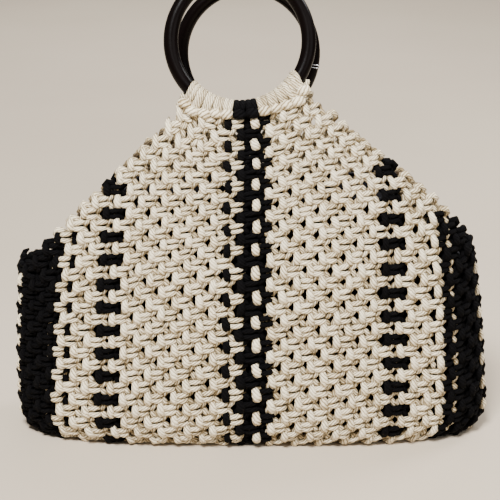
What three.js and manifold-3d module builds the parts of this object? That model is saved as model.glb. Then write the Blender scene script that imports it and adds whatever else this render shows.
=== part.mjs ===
// Knotted cord handbag with two ring handles. Millimetres, +Z up, the front faces -Y.
// The body is one tube of cord knotted in columns: column 0 is the middle of the front,
// and the columns are counted round the bag, over its right side, to the middle of the back.
import * as THREE from 'three';
import { mergeVertices } from 'three/addons/utils/BufferGeometryUtils.js';
import Module from 'manifold-3d';

const wasm = await Module();
wasm.setup();

// Body
const bodyWidth = 428;
const bodyDepth = 142;
const bodyHeight = 290;
const wallThickness = 9;
const baseThickness = 9;
const baseBend = 0.9;
const clearance = 0.35;
const planPower = 3;

// Knot columns, counted from the middle of the front or of the back
const sideColumn = 11;
const gussetColumn = 7.62;
const stripeColumn = 0.62;

// Lining
const liningThickness = 1.5;
const liningClearance = 1.4;
const liningTop = 222;
const liningBelowEdge = 9;

// Gaps between the knots, and the dips along the sloping edges
const gapWidth = 5.4;
const gapHeight = 6.4;
const topRowPitch = 16.7;
const rowPitch = 21.5;
const topRows = 7;
const firstRowDrop = 5.5;
const edgeMargin = 11;
const dipRadius = 4.4;
const dipRise = 0.2;
const dipCorners = 6;
const endMargin = 0.5;
const gapSpacing = { firstRow: 2, rowStep: 1.5, rows: 9, columnStep: 2 };

// Ring handles and the cords wrapped round them
const ringDiameter = 127;
const ringThickness = 12.2;
const wrapCord = 4.6;
const strandPitch = 4.55;
const stripeStrandPitch = 5.2;
const sideStrands = 10;
const stripeStrands = 4;
const bandWidth = 3;
const bandThickness = 0.5;
const bandAngle = 80;

const frontHandle = { side: -1, seat: 0.977, lean: 19, shift: -8.5, wrapMiddle: 4.8 };
const backHandle = { side: 1, seat: 0.9, lean: 4, shift: -2.4, wrapMiddle: 4.2 };

// Level sections of the outside: height as a share of bodyHeight, half widths to the left and
// right as shares of half bodyWidth, depths to the front and back as shares of half bodyDepth.
const sections = [
  { height: 0.0, left: 0.935, right: 0.949, front: 0.789, back: 0.789 },
  { height: 0.028, left: 0.963, right: 0.981, front: 0.901, back: 0.901 },
  { height: 0.076, left: 0.979, right: 1.0, front: 0.972, back: 0.972 },
  { height: 0.172, left: 0.977, right: 0.988, front: 1.0, back: 1.0 },
  { height: 0.293, left: 0.97, right: 0.972, front: 0.993, back: 1.0 },
  { height: 0.414, left: 0.958, right: 0.951, front: 0.972, back: 0.986 },
  { height: 0.552, left: 0.944, right: 0.925, front: 0.923, back: 0.951 },
  { height: 0.672, left: 0.93, right: 0.911, front: 0.838, back: 0.88 },
  { height: 0.793, left: 0.921, right: 0.907, front: 0.704, back: 0.746 },
  { height: 0.903, left: 0.921, right: 0.907, front: 0.542, back: 0.606 },
  { height: 1.0, left: 0.916, right: 0.911, front: 0.38, back: 0.6 },
  { height: 1.121, left: 0.911, right: 0.911, front: 0.211, back: 0.6 },
];

// Upper edges: knot column, and the height there on the left and right as shares of bodyHeight.
const frontEdge = [
  { column: 2.75, left: 1.14, right: 1.095 },
  { column: 3.1, left: 1.052, right: 1.045 },
  { column: 4.2, left: 0.948, right: 0.979 },
  { column: 5.2, left: 0.869, right: 0.917 },
  { column: 6.3, left: 0.807, right: 0.848 },
  { column: 7.3, left: 0.71, right: 0.772 },
  { column: 8.4, left: 0.634, right: 0.703 },
  { column: 9.1, left: 0.603, right: 0.61 },
  { column: 10, left: 0.566, right: 0.57 },
  { column: 11, left: 0.555, right: 0.555 },
];
const backEdge = [
  { column: 2.9, left: 1.06, right: 1.06 },
  { column: 3.4, left: 0.976, right: 0.976 },
  { column: 4.7, left: 0.879, right: 0.885 },
  { column: 5.7, left: 0.8, right: 0.815 },
  { column: 7.3, left: 0.679, right: 0.7 },
  { column: 8.3, left: 0.614, right: 0.63 },
  { column: 9.1, left: 0.567, right: 0.575 },
  { column: 11, left: 0.555, right: 0.555 },
];

// Steps of the faceted surfaces
const footSections = 4;
const wallSteps = 5;
const ringSegments = 40;
const tubeSides = 8;
const wrapSides = 6;
const bandSides = 12;
const planSamples = 60;

const ringRadius = (ringDiameter - ringThickness) / 2;
const tubeRadius = ringThickness / 2;
const wrapRadius = tubeRadius + clearance + wrapCord;
const columnsAround = 4 * sideColumn;

const cream = { color: 0xe2dac8, roughness: 0.9, metalness: 0 };
const black = { color: 0x141113, roughness: 0.85, metalness: 0 };
const liningCloth = { color: 0x17151a, roughness: 0.8, metalness: 0 };
const lacquer = { color: 0x17100e, roughness: 0.22, metalness: 0 };
const steel = { color: 0xc9cacb, roughness: 0.25, metalness: 1 };

function tableValue(table, key, at, name) {
  const last = table.length - 1;
  if (at <= table[0][key]) return table[0][name];
  if (at >= table[last][key]) return table[last][name];
  const next = table.findIndex((row) => row[key] >= at);
  const lower = table[next - 1];
  const upper = table[next];
  const share = (at - lower[key]) / (upper[key] - lower[key]);
  return THREE.MathUtils.lerp(lower[name], upper[name], share);
}

// A point of a quarter of the rounded plan, at a share of its length from the middle of the front.
function quarterPoint(halfWidth, depth, share) {
  const points = [];
  const lengths = [0];
  for (let i = 0; i <= planSamples; i += 1) {
    const angle = (i / planSamples) * (Math.PI / 2);
    const x = halfWidth * Math.sin(angle) ** (2 / planPower);
    const y = depth * Math.max(Math.cos(angle), 0) ** (2 / planPower);
    points.push(new THREE.Vector2(x, y));
    if (i > 0) lengths.push(lengths[i - 1] + points[i].distanceTo(points[i - 1]));
  }
  const wanted = share * lengths[planSamples];
  const next = Math.max(1, lengths.findIndex((length) => length >= wanted - 1e-9));
  const step = (wanted - lengths[next - 1]) / (lengths[next] - lengths[next - 1]);
  return points[next - 1].clone().lerp(points[next], step);
}

// Columns run from -sideColumn to sideColumn on the front, and on round the back.
function placeOf(turn) {
  const whole = turn > 3 * sideColumn ? turn - 4 * sideColumn : turn;
  const onFront = Math.abs(whole) <= sideColumn;
  return { front: onFront, column: onFront ? whole : 2 * sideColumn - whole };
}

function wallPoint(turn, height, inset) {
  const { front, column } = placeOf(turn);
  const share = height / bodyHeight;
  const across = tableValue(sections, 'height', share, column < 0 ? 'left' : 'right') * (bodyWidth / 2);
  const deep = tableValue(sections, 'height', share, front ? 'front' : 'back') * (bodyDepth / 2);
  const point = quarterPoint(across - inset, deep - inset, Math.abs(column) / sideColumn);
  const x = column < 0 ? -point.x : point.x;
  return new THREE.Vector3(x, front ? -point.y : point.y, height);
}

function handlePlace(handle) {
  const lean = THREE.MathUtils.degToRad(handle.lean);
  const seatHeight = handle.seat * bodyHeight;
  const seat = wallPoint(handle.side < 0 ? 0 : 2 * sideColumn, seatHeight, wallThickness / 2);
  const reach = ringRadius + wrapRadius + clearance;
  const towardsBack = seat.y + reach * Math.sin(lean);
  return { lean, centre: new THREE.Vector3(handle.shift, towardsBack, seatHeight + reach * Math.cos(lean)) };
}

// The upper edge follows the wrapped ring in the middle and slopes down to the sides.
function edgeHeight(turn) {
  const { front, column } = placeOf(turn);
  const edge = front ? frontEdge : backEdge;
  const slope = tableValue(edge, 'column', Math.abs(column), column < 0 ? 'left' : 'right') * bodyHeight;
  const { centre, lean } = handlePlace(front ? frontHandle : backHandle);
  const radius = ringRadius + wrapRadius / 2;
  const away = wallPoint(turn, Math.min(slope, bodyHeight), 0).x - centre.x;
  const drop = Math.sqrt(Math.max(radius ** 2 - away ** 2, 0)) * Math.cos(lean);
  return Math.min(slope, centre.z - drop);
}

function closedGeometry(positions, indices) {
  const geometry = new THREE.BufferGeometry();
  geometry.setAttribute('position', new THREE.Float32BufferAttribute(positions, 3));
  geometry.setIndex(indices);
  return geometry;
}

function toSolid(geometry) {
  const plain = geometry.clone();
  plain.deleteAttribute('normal');
  plain.deleteAttribute('uv');
  const merged = mergeVertices(plain, 1e-4);
  return new wasm.Manifold(new wasm.Mesh({
    numProp: 3,
    vertProperties: new Float32Array(merged.attributes.position.array),
    triVerts: new Uint32Array(merged.index.array),
  }));
}

function toGeometry(solid) {
  const mesh = solid.getMesh();
  return closedGeometry(Array.from(mesh.vertProperties), Array.from(mesh.triVerts));
}

// Loops of equal point counts are joined one to the next, and both ends are closed.
function loopSolid(loops) {
  const count = loops[0].length;
  const positions = loops.flat().flatMap((point) => point.toArray());
  const indices = [];
  for (let row = 0; row + 1 < loops.length; row += 1) {
    for (let i = 0; i < count; i += 1) {
      const a = row * count + i;
      const b = row * count + ((i + 1) % count);
      indices.push(a, b, a + count, b, b + count, a + count);
    }
  }
  for (const [row, flip] of [[0, true], [loops.length - 1, false]]) {
    const middle = new THREE.Vector3();
    loops[row].forEach((point) => middle.addScaledVector(point, 1 / count));
    const centre = positions.length / 3;
    positions.push(...middle.toArray());
    for (let i = 0; i < count; i += 1) {
      const a = row * count + i;
      const b = row * count + ((i + 1) % count);
      indices.push(...(flip ? [b, a, centre] : [a, b, centre]));
    }
  }
  return toSolid(closedGeometry(positions, indices));
}

function spread(from, to, steps) {
  return Array.from({ length: steps + 1 }, (_, i) => THREE.MathUtils.lerp(from, to, i / steps));
}

// Heights of a wall's facets: the sections of the foot, then even steps up to the edge.
function levelHeights(bottom, top, steps) {
  const foot = sections.slice(0, footSections).map((row) => row.height * bodyHeight);
  const above = foot.filter((height) => height > bottom);
  return [bottom, ...above, ...spread(foot[foot.length - 1], top, steps).slice(1)];
}

// A stretch of wall between two columns, from the floor to the upper edge.
function wallSolid(turns) {
  const loops = turns.map((turn) => {
    const heights = levelHeights(0, edgeHeight(turn), wallSteps);
    const outside = heights.map((height) => wallPoint(turn, height, 0));
    const inside = heights.map((height) => wallPoint(turn, height, wallThickness));
    return [...outside, ...inside.reverse()];
  });
  return stripSolid(loops);
}

// Like loopSolid, but its two end faces are strips, because a curved wall's ends aren't convex.
function stripSolid(loops) {
  const count = loops[0].length;
  const positions = loops.flat().flatMap((point) => point.toArray());
  const indices = [];
  for (let row = 0; row + 1 < loops.length; row += 1) {
    for (let i = 0; i < count; i += 1) {
      const a = row * count + i;
      const b = row * count + ((i + 1) % count);
      indices.push(a, b + count, b, a, a + count, b + count);
    }
  }
  const half = count / 2;
  for (const [row, flip] of [[0, false], [loops.length - 1, true]]) {
    const start = row * count;
    for (let i = 0; i + 1 < half; i += 1) {
      const a = start + i;
      const b = start + i + 1;
      const c = start + count - 2 - i;
      const d = start + count - 1 - i;
      indices.push(...(flip ? [a, c, b, a, d, c] : [a, b, c, a, c, d]));
    }
  }
  return toSolid(closedGeometry(positions, indices));
}

// A prism through the wall at a knot column and height, square to the wall.
function throughCut(turn, height, outline) {
  const middle = wallPoint(turn, height, wallThickness / 2);
  const ahead = wallPoint(turn + 0.2, height, wallThickness / 2).sub(middle).normalize();
  const out = new THREE.Vector3(ahead.y, -ahead.x, 0);
  const reach = wallThickness;
  const loops = [-reach, reach].map((distance) => outline.map(([u, v]) => middle.clone()
    .addScaledVector(ahead, u)
    .addScaledVector(out, distance)
    .add(new THREE.Vector3(0, 0, v))));
  return loopSolid(loops);
}

const diamond = [[gapWidth / 2, 0], [0, gapHeight / 2], [-gapWidth / 2, 0], [0, -gapHeight / 2]];
const dipOutline = spread(0, 2 * Math.PI, dipCorners).slice(1)
  .map((angle) => [dipRadius * Math.cos(angle), dipRadius * Math.sin(angle)]);

function rowHeight(row) {
  const first = frontHandle.seat * bodyHeight + firstRowDrop;
  const upper = Math.min(row, topRows) - 1;
  const lower = Math.max(row - topRows, 0);
  return first - upper * topRowPitch - lower * rowPitch;
}

// Every third gap is open: whole columns on whole rows, half columns on half rows.
function gapPlaces(fromTurn, toTurn, middleTurn) {
  const places = [];
  for (let step = 0; step < gapSpacing.rows; step += 1) {
    const row = gapSpacing.firstRow + gapSpacing.rowStep * step;
    const offset = step % 2 === 0 ? 0 : 0.5;
    for (let k = -sideColumn; k <= sideColumn; k += gapSpacing.columnStep) {
      const turn = middleTurn + k + 1 + (k < 0 ? -offset : offset);
      const height = rowHeight(row);
      const clearOfEnds = turn > fromTurn + endMargin && turn < toTurn - endMargin;
      const lowEnough = [-endMargin, 0, endMargin].every((d) => height < edgeHeight(turn + d) - edgeMargin);
      if (clearOfEnds && lowEnough && height > edgeMargin) places.push([turn, height]);
    }
  }
  return places;
}

function dipPlaces(fromTurn, toTurn, middleTurn) {
  const places = [];
  for (let column = -sideColumn + 0.5; column <= sideColumn; column += 1) {
    const turn = middleTurn + column;
    const inside = turn > fromTurn + endMargin && turn < toTurn - endMargin;
    const onSlope = Math.abs(column) > frontEdge[1].column + endMargin;
    if (inside && onSlope) places.push([turn, edgeHeight(turn) + dipRise * dipRadius]);
  }
  return places;
}

function leanedTorus(handle, radius, thickness) {
  const { centre, lean } = handlePlace(handle);
  const torus = new THREE.TorusGeometry(radius, thickness, tubeSides, ringSegments);
  torus.rotateX(Math.PI / 2 - lean);
  torus.translate(centre.x, centre.y, centre.z);
  return torus;
}

// Cuts the gaps and dips, and keeps the wall clear of the wrapped rings.
function knottedWall(turns) {
  const first = turns[0];
  const last = turns[turns.length - 1];
  let solid = wallSolid(turns);
  for (const middleTurn of [0, 2 * sideColumn, columnsAround]) {
    for (const [turn, height] of gapPlaces(first, last, middleTurn)) {
      if (Math.abs(turn - middleTurn) > sideColumn) continue;
      solid = solid.subtract(throughCut(turn, height, diamond));
    }
    for (const [turn, height] of dipPlaces(first, last, middleTurn)) {
      solid = solid.subtract(throughCut(turn, height, dipOutline));
    }
  }
  for (const handle of [frontHandle, backHandle]) {
    solid = solid.subtract(toSolid(leanedTorus(handle, ringRadius, wrapRadius + clearance)));
  }
  return toGeometry(solid);
}

const halfGap = clearance / 2 / rowPitch;
const back = 2 * sideColumn;
const wrapEnd = frontEdge[1].column;

// Columns where the faceted plan has its corners, once round the bag from its left side.
const halfTurns = [
  ...spread(stripeColumn, wrapEnd, 3),
  ...spread(wrapEnd, gussetColumn, 4).slice(1),
  ...spread(gussetColumn, sideColumn, 4).slice(1),
];
const frontTurns = [...halfTurns.map((turn) => -turn).reverse(), 0, ...halfTurns];
const wholeTurns = [...frontTurns.slice(1), ...frontTurns.slice(1).map((turn) => back + turn)];

function turnsBetween(from, to) {
  const all = [...wholeTurns, ...wholeTurns.map((turn) => turn + columnsAround)];
  const inner = all.filter((turn) => turn > from + halfGap && turn < to - halfGap);
  return [from + halfGap, ...inner, to - halfGap];
}

function planLoop(heightAt, inset) {
  return wholeTurns.map((turn) => wallPoint(turn, heightAt(turn), inset));
}

// The knotted bottom fills the foot of the wall.
function baseGeometry() {
  const inset = wallThickness + clearance;
  const bend = Math.min(sections[1].height * bodyHeight, baseBend * baseThickness);
  return toGeometry(loopSolid([0, bend, baseThickness].map((height) => planLoop(() => height, inset))));
}

// A point on the flat facet between two corners of the wall, set in from the outside.
function facetPoint(turn, height, inset) {
  const heights = levelHeights(0, edgeHeight(turn), wallSteps);
  const upper = Math.max(1, heights.findIndex((corner) => corner >= height));
  const share = (height - heights[upper - 1]) / (heights[upper] - heights[upper - 1]);
  return wallPoint(turn, heights[upper - 1], inset).lerp(wallPoint(turn, heights[upper], inset), share);
}

// The lining hangs just inside the wall, and bends where the wall bends.
function liningGeometry() {
  const heights = wholeTurns.map((turn) => {
    const edge = edgeHeight(turn);
    const wallHeights = levelHeights(baseThickness + clearance, edge, wallSteps);
    return [...wallHeights.slice(0, -2), Math.min(liningTop, edge - liningBelowEdge)];
  });
  const loopAt = (level, inset, lift) => wholeTurns.map(
    (turn, i) => facetPoint(turn, heights[i][level] + lift, wallThickness + liningClearance + inset));
  const levels = heights[0].map((_, level) => level);
  const outside = levels.map((level) => loopAt(level, 0, 0));
  const inside = levels.filter((level) => level % 2 === 0)
    .map((level) => loopAt(level, liningThickness, level === 0 ? liningThickness : 0));
  return toGeometry(loopSolid([...outside, ...inside.reverse()]));
}

// Cords wound side by side round the ring, from one angle to another, measured from straight down.
function wrapGeometry(fromAngle, toAngle, strands) {
  const loops = [];
  for (let i = 0; i <= 2 * strands; i += 1) {
    const angle = THREE.MathUtils.degToRad(THREE.MathUtils.lerp(fromAngle, toAngle, i / (2 * strands)));
    const radius = i % 2 === 0 ? wrapRadius - wrapCord / 3 : wrapRadius;
    const loop = [];
    for (let k = 0; k < wrapSides; k += 1) {
      const around = (k / wrapSides) * 2 * Math.PI;
      const out = ringRadius + radius * Math.cos(around);
      loop.push(new THREE.Vector3(out * Math.sin(angle), radius * Math.sin(around), -out * Math.cos(angle)));
    }
    loops.push(loop);
  }
  const bore = new THREE.TorusGeometry(ringRadius, tubeRadius + clearance, tubeSides, ringSegments);
  bore.rotateX(Math.PI / 2);
  return toGeometry(loopSolid(loops).subtract(toSolid(bore)));
}

function ringGeometry() {
  const ring = new THREE.TorusGeometry(ringRadius, tubeRadius, tubeSides, ringSegments);
  ring.rotateX(Math.PI / 2);
  return ring;
}

// A thin metal band over the joint in the ring.
function bandGeometry() {
  const angle = THREE.MathUtils.degToRad(bandAngle);
  const profile = [
    new THREE.Vector2(tubeRadius + clearance, -bandWidth / 2),
    new THREE.Vector2(tubeRadius + clearance + bandThickness, -bandWidth / 2),
    new THREE.Vector2(tubeRadius + clearance + bandThickness, bandWidth / 2),
    new THREE.Vector2(tubeRadius + clearance, bandWidth / 2),
    new THREE.Vector2(tubeRadius + clearance, -bandWidth / 2),
  ];
  const band = new THREE.LatheGeometry(profile, bandSides);
  band.rotateZ(-Math.PI / 2);
  band.translate(0, 0, -ringRadius);
  band.rotateY(-angle);
  return band;
}

function namedMesh(name, geometry, finish) {
  const mesh = new THREE.Mesh(geometry, new THREE.MeshStandardMaterial(finish));
  mesh.name = name;
  return mesh;
}

function handleGroup(handle, name, withBand) {
  const { centre, lean } = handlePlace(handle);
  const group = new THREE.Group();
  group.position.copy(centre);
  group.rotation.x = -lean;
  group.add(namedMesh(`${name}_ring`, ringGeometry(), lacquer));
  const degreesPerMm = 180 / Math.PI / ringRadius;
  const stripeHalf = (stripeStrands * stripeStrandPitch * degreesPerMm) / 2;
  const sideSpan = sideStrands * strandPitch * degreesPerMm;
  const split = clearance * degreesPerMm;
  const left = handle.wrapMiddle - stripeHalf;
  const right = handle.wrapMiddle + stripeHalf;
  const leftWraps = wrapGeometry(left - sideSpan, left - split, sideStrands);
  const rightWraps = wrapGeometry(right + split, right + sideSpan, sideStrands);
  group.add(namedMesh(`${name}_wraps_left`, leftWraps, cream));
  group.add(namedMesh(`${name}_wraps_middle`, wrapGeometry(left, right, stripeStrands), black));
  group.add(namedMesh(`${name}_wraps_right`, rightWraps, cream));
  if (withBand) group.add(namedMesh(`${name}_ring_band`, bandGeometry(), steel));
  return group;
}

const walls = [
  { name: 'front_panel_left', from: -gussetColumn, to: -stripeColumn, finish: cream },
  { name: 'front_stripe', from: -stripeColumn, to: stripeColumn, finish: black },
  { name: 'front_panel_right', from: stripeColumn, to: gussetColumn, finish: cream },
  { name: 'right_gusset', from: gussetColumn, to: back - gussetColumn, finish: black },
  { name: 'back_panel_right', from: back - gussetColumn, to: back - stripeColumn, finish: cream },
  { name: 'back_stripe', from: back - stripeColumn, to: back + stripeColumn, finish: black },
  { name: 'back_panel_left', from: back + stripeColumn, to: back + gussetColumn, finish: cream },
  { name: 'left_gusset', from: back + gussetColumn, to: columnsAround - gussetColumn, finish: black },
];

const bag = new THREE.Group();
for (const { name, from, to, finish } of walls) {
  bag.add(namedMesh(name, knottedWall(turnsBetween(from, to)), finish));
}
bag.add(namedMesh('base_panel', baseGeometry(), cream));
bag.add(namedMesh('lining', liningGeometry(), liningCloth));
bag.add(handleGroup(frontHandle, 'front', false));
bag.add(handleGroup(backHandle, 'back', true));

// The foot bulges further to the right than to the left: the origin is midway between them.
const widest = (name) => Math.max(...sections.map((row) => row[name])) * (bodyWidth / 2);
bag.position.x = (widest('left') - widest('right')) / 2;

export default bag;
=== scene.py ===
import math

import bmesh
import bpy
import numpy as np
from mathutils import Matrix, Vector


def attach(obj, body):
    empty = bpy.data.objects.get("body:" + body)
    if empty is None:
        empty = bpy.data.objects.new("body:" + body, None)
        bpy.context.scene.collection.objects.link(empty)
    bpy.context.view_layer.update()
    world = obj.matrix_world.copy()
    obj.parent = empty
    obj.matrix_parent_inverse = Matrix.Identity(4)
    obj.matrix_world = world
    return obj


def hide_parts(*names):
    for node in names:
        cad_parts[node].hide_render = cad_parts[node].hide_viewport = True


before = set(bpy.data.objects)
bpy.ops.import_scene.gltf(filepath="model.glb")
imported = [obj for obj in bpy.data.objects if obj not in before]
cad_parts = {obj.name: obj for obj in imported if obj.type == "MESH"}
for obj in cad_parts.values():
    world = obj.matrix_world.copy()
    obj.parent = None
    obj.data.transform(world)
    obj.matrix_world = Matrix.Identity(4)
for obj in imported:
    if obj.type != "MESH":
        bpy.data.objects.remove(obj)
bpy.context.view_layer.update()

millimetre = 0.001
rng = np.random.default_rng(11)

# The camera stands where the photograph was taken, square to the front and looking down a little.
camera = {"place": (-0.00225, -1.0425, 0.522), "lookDown": 19.0, "lens": 90.0, "sensor": 36.0, "nearest": 0.05}


def photoCamera():
    data = bpy.data.cameras.new("photoCamera")
    data.lens = camera["lens"]
    data.sensor_width = camera["sensor"]
    data.clip_start = camera["nearest"]
    placed = bpy.data.objects.new("photoCamera", data)
    placed.location = camera["place"]
    placed.rotation_euler = (math.radians(90 - camera["lookDown"]), 0, 0)
    bpy.context.scene.collection.objects.link(placed)
    bpy.context.scene.camera = placed


photoCamera()
print("camera set")


def linearColour(hexColour):
    channels = [int(hexColour[i:i + 2], 16) / 255 for i in (1, 3, 5)]
    return tuple(c / 12.92 if c <= 0.04045 else ((c + 0.055) / 1.055) ** 2.4 for c in channels) + (1.0,)


def newMaterial(name):
    material = bpy.data.materials.new(name)
    material.use_nodes = True
    tree = material.node_tree
    return material, tree, tree.nodes["Principled BSDF"]


def setInputs(node, inputs):
    for key, value in inputs.items():
        node.inputs[key].default_value = value


def addNode(tree, kind, settings=None, inputs=None, links=None):
    node = tree.nodes.new(kind)
    for key, value in (settings or {}).items():
        setattr(node, key, value)
    setInputs(node, inputs or {})
    for key, socket in (links or {}).items():
        tree.links.new(socket, node.inputs[key])
    return node


def addMath(tree, operation, *values):
    # each value is a number or another node's output
    numbers = {i: value for i, value in enumerate(values) if isinstance(value, (int, float))}
    sockets = {i: value for i, value in enumerate(values) if i not in numbers}
    return addNode(tree, "ShaderNodeMath", {"operation": operation}, numbers, sockets).outputs[0]


def addNoise(tree, scale, detail, roughness=0.5):
    coordinates = addNode(tree, "ShaderNodeTexCoord")
    noise = addNode(tree, "ShaderNodeTexNoise", inputs={"Scale": scale, "Detail": detail, "Roughness": roughness},
                    links={"Vector": coordinates.outputs["Object"]})
    return noise.outputs["Fac"]


def colourBetween(tree, shader, value, low, high):
    ramp = addNode(tree, "ShaderNodeValToRGB", links={"Fac": value})
    stops = ramp.color_ramp.elements
    stops[0].color, stops[1].color = linearColour(low), linearColour(high)
    tree.links.new(ramp.outputs["Color"], shader.inputs["Base Color"])
    return stops


def roughBetween(tree, shader, value, low, high):
    smear = addNode(tree, "ShaderNodeMapRange", inputs={"To Min": low, "To Max": high}, links={"Value": value})
    tree.links.new(smear.outputs["Result"], shader.inputs["Roughness"])


def addRelief(tree, shader, height, strength, distance):
    bump = addNode(tree, "ShaderNodeBump", inputs={"Strength": strength, "Distance": distance},
                   links={"Height": height})
    tree.links.new(bump.outputs["Normal"], shader.inputs["Normal"])


# Soft twisted cotton cord: its plies, and the yarns in them, show as slanting ridges; the grooves between plies
# are coloured darker as painted shade and their crests lighter as a painted highlight.
# Lays are millimetres of cord to one turn. Noises here and below are scale, detail and roughness.
cotton = {
    "plies": 6, "lay": 22.0, "yarns": 18, "yarnLay": 20.24, "ridgePower": 0.8, "wander": 2.2,
    "wanderNoise": (280.0, 1.0), "soil": (60.0, 3.0), "fuzz": (1100.0, 4.0, 0.7),
    "plyShade": 0.4, "soilShade": 0.28, "fuzzShade": 0.28, "deepAt": 0.3, "bodyAt": 0.74,
    "yarnHeight": 0.3, "fuzzHeight": 0.35, "relief": 1.0, "depth": 0.0013, "sheenRoughness": 0.6}
# Undyed: matte and warm white. Its deep colour is painted shade for grooves and deep strands, its high colour a
# painted highlight for crests.
creamLook = {"deep": "#382918", "body": "#a8926a", "high": "#fff0d0",
             "roughness": 0.92, "specular": 0.12, "sheen": 0.05}
# Dyed black: it swallows light, so the ridges hardly show.
blackLook = {"deep": "#010101", "body": "#040304", "high": "#080708",
             "roughness": 0.9, "specular": 0.07, "sheen": 0.0}


def cottonMaterial(name, look):
    material, tree, shader = newMaterial(name)
    place = addNode(tree, "ShaderNodeAttribute", {"attribute_name": "cordPlace"})
    parts = addNode(tree, "ShaderNodeSeparateXYZ", links={0: place.outputs["Vector"]})
    angle = addMath(tree, "ARCTAN2", parts.outputs["Y"], parts.outputs["X"])
    fuzz = addNoise(tree, *cotton["fuzz"])
    soil = addNoise(tree, *cotton["soil"])
    wander = addNoise(tree, *cotton["wanderNoise"])

    def ridges(count, lay):
        aroundCord = addMath(tree, "MULTIPLY", angle, count / 2)
        alongCord = addMath(tree, "MULTIPLY_ADD", parts.outputs["Z"], math.pi * count / lay, aroundCord)
        bent = addMath(tree, "MULTIPLY_ADD", wander, cotton["wander"], alongCord)
        size = addMath(tree, "ABSOLUTE", addMath(tree, "SINE", bent))
        return addMath(tree, "POWER", size, cotton["ridgePower"])

    plies = ridges(cotton["plies"], cotton["lay"])
    yarns = ridges(cotton["yarns"], cotton["yarnLay"])
    # each strand's tone: random, and in the knots with painted shade on the strands lying deeper in the cloth
    shade = addNode(tree, "ShaderNodeAttribute", {"attribute_name": "cordToneAndShade"}).outputs["Fac"]
    # painted shade and highlight: the ply pattern colours the grooves between plies darker and their crests
    # lighter; soil and fuzz add random tone
    for part, weight in ((plies, "plyShade"), (soil, "soilShade"), (fuzz, "fuzzShade")):
        shade = addMath(tree, "MULTIPLY_ADD", part, cotton[weight], shade)
    stops = colourBetween(tree, shader, shade, look["deep"], look["high"])
    stops[0].position = cotton["deepAt"]
    stops.new(cotton["bodyAt"]).color = linearColour(look["body"])
    height = addMath(tree, "MULTIPLY_ADD", yarns, cotton["yarnHeight"], plies)
    height = addMath(tree, "MULTIPLY_ADD", fuzz, cotton["fuzzHeight"], height)
    addRelief(tree, shader, height, cotton["relief"], cotton["depth"])
    setInputs(shader, {"Roughness": look["roughness"], "Specular IOR Level": look["specular"],
                       "Sheen Weight": look["sheen"], "Sheen Roughness": cotton["sheenRoughness"]})
    return material


# Lacquered wood or moulded resin ring: nearly black, brown where light passes, smooth and glossy.
lacquerLook = {"dark": "#040202", "light": "#0a0605", "cloud": (35.0, 5.0), "roughness": (0.22, 0.32),
               "waves": (220.0, 2.0), "relief": 0.12, "depth": 0.0004, "specular": 0.06}


def lacquerMaterial():
    look = lacquerLook
    material, tree, shader = newMaterial("blackLacquer")
    cloud = addNoise(tree, *look["cloud"])
    colourBetween(tree, shader, cloud, look["dark"], look["light"])
    roughBetween(tree, shader, cloud, *look["roughness"])
    addRelief(tree, shader, addNoise(tree, *look["waves"]), look["relief"], look["depth"])
    setInputs(shader, {"Specular IOR Level": look["specular"]})
    return material


# Thin polished steel: bright, with fine scratches.
steelLook = {"dark": "#b9babd", "light": "#dcdcde", "scratches": (900.0, 3.0), "roughness": (0.18, 0.34)}


def steelMaterial():
    look = steelLook
    material, tree, shader = newMaterial("polishedSteel")
    scratches = addNoise(tree, *look["scratches"])
    colourBetween(tree, shader, scratches, look["dark"], look["light"])
    roughBetween(tree, shader, scratches, *look["roughness"])
    setInputs(shader, {"Metallic": 1.0})
    return material


# Plain-woven black cotton lining: dull, with a fine thread pattern. thread: metres to one wave of it.
clothLook = {"dark": "#0d0c0f", "light": "#1d1a20", "cloud": (40.0, 4.0), "thread": 0.0011,
             "relief": 0.4, "depth": 0.0003, "roughness": 0.85, "specular": 0.2, "sheen": 0.05}


def liningMaterial():
    look = clothLook
    material, tree, shader = newMaterial("blackLiningCloth")
    place = addNode(tree, "ShaderNodeUVMap", {"uv_map": "threads"})
    parts = addNode(tree, "ShaderNodeSeparateXYZ", links={0: place.outputs["UV"]})
    waves = []
    for axis in ("X", "Y"):
        turned = addMath(tree, "MULTIPLY", parts.outputs[axis], 2 * math.pi / look["thread"])
        waves.append(addMath(tree, "SINE", turned))
    colourBetween(tree, shader, addNoise(tree, *look["cloud"]), look["dark"], look["light"])
    addRelief(tree, shader, addMath(tree, "MULTIPLY", *waves), look["relief"], look["depth"])
    setInputs(shader, {"Roughness": look["roughness"], "Specular IOR Level": look["specular"],
                       "Sheen Weight": look["sheen"]})
    return material


creamCotton = cottonMaterial("creamCottonCord", creamLook)
blackCotton = cottonMaterial("blackCottonCord", blackLook)
lacquer = lacquerMaterial()
steel = steelMaterial()
liningCloth = liningMaterial()
print("materials made")


# The knots stand in 44 columns round the bag. A turn is a place counted in columns from the middle of the
# front, -11 at the left side to 33 where it comes back there. Columns count the same from each middle.
quarter = 11
roundBag = 4 * quarter

# Sizes of the body in millimetres, as in the CAD source.
body = {"width": 428.0, "depth": 142.0, "height": 290.0, "wall": 9.0, "planPower": 3.0, "shiftX": -2.247}
bagShift = np.array([body["shiftX"], 0, 0])
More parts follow.
